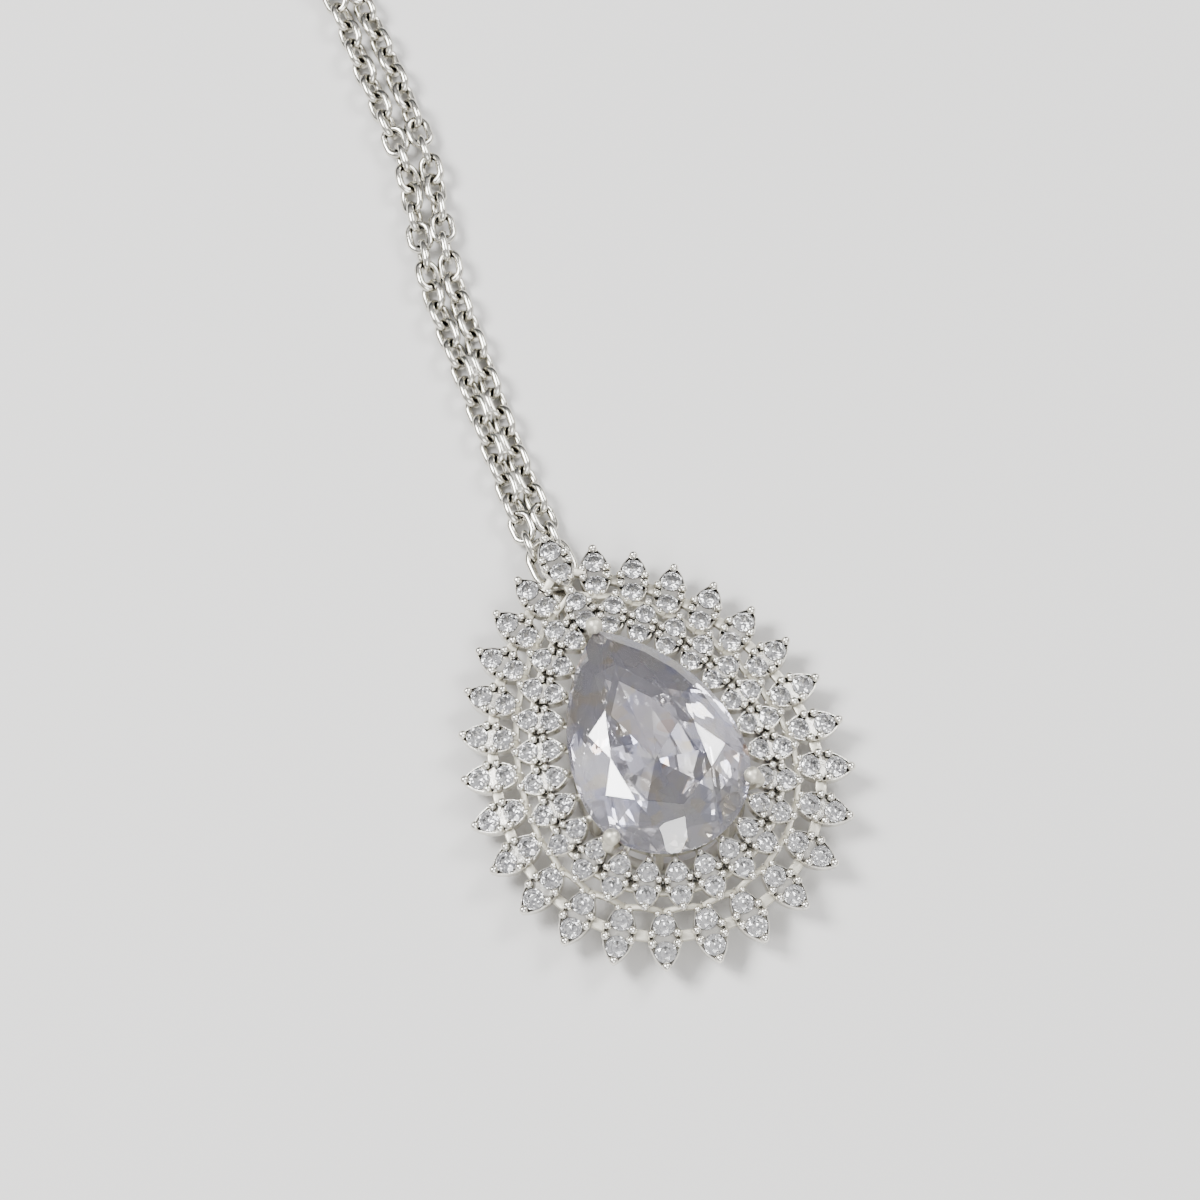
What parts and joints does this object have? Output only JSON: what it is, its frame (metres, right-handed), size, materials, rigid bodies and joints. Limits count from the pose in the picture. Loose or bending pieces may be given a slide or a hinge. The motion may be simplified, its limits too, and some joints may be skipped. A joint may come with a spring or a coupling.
{
  "type": "maang tikka",
  "caption": "Maang tikka: a pear-cut clear stone in two rings of pointed, stone-set settings, on a double cable chain with a hair hook.",
  "frame": {"origin": "on the pendant's flat back, on the underside of the tongue, below the inner tip of the top setting", "axes": "+Y along the pendant towards its chain and hook, +Z out of the face with the stones, +X to the right as seen from the face"},
  "size_m": [0.031, 0.1153, 0.0085],
  "materials": {
    "plated_frame": "bright silver-tone plating with small clear stones",
    "plated_wire": "bright silver-tone plating",
    "clear_stone": "polished facets"
  },
  "bodies": {
    "root": {"pendant_frame": "plated_frame", "centre_stone": "clear_stone", "jump_ring": "plated_wire", "double_chain": "plated_wire", "end_ring": "plated_wire", "hair_hook": "plated_wire"}
  },
  "joints": []
}
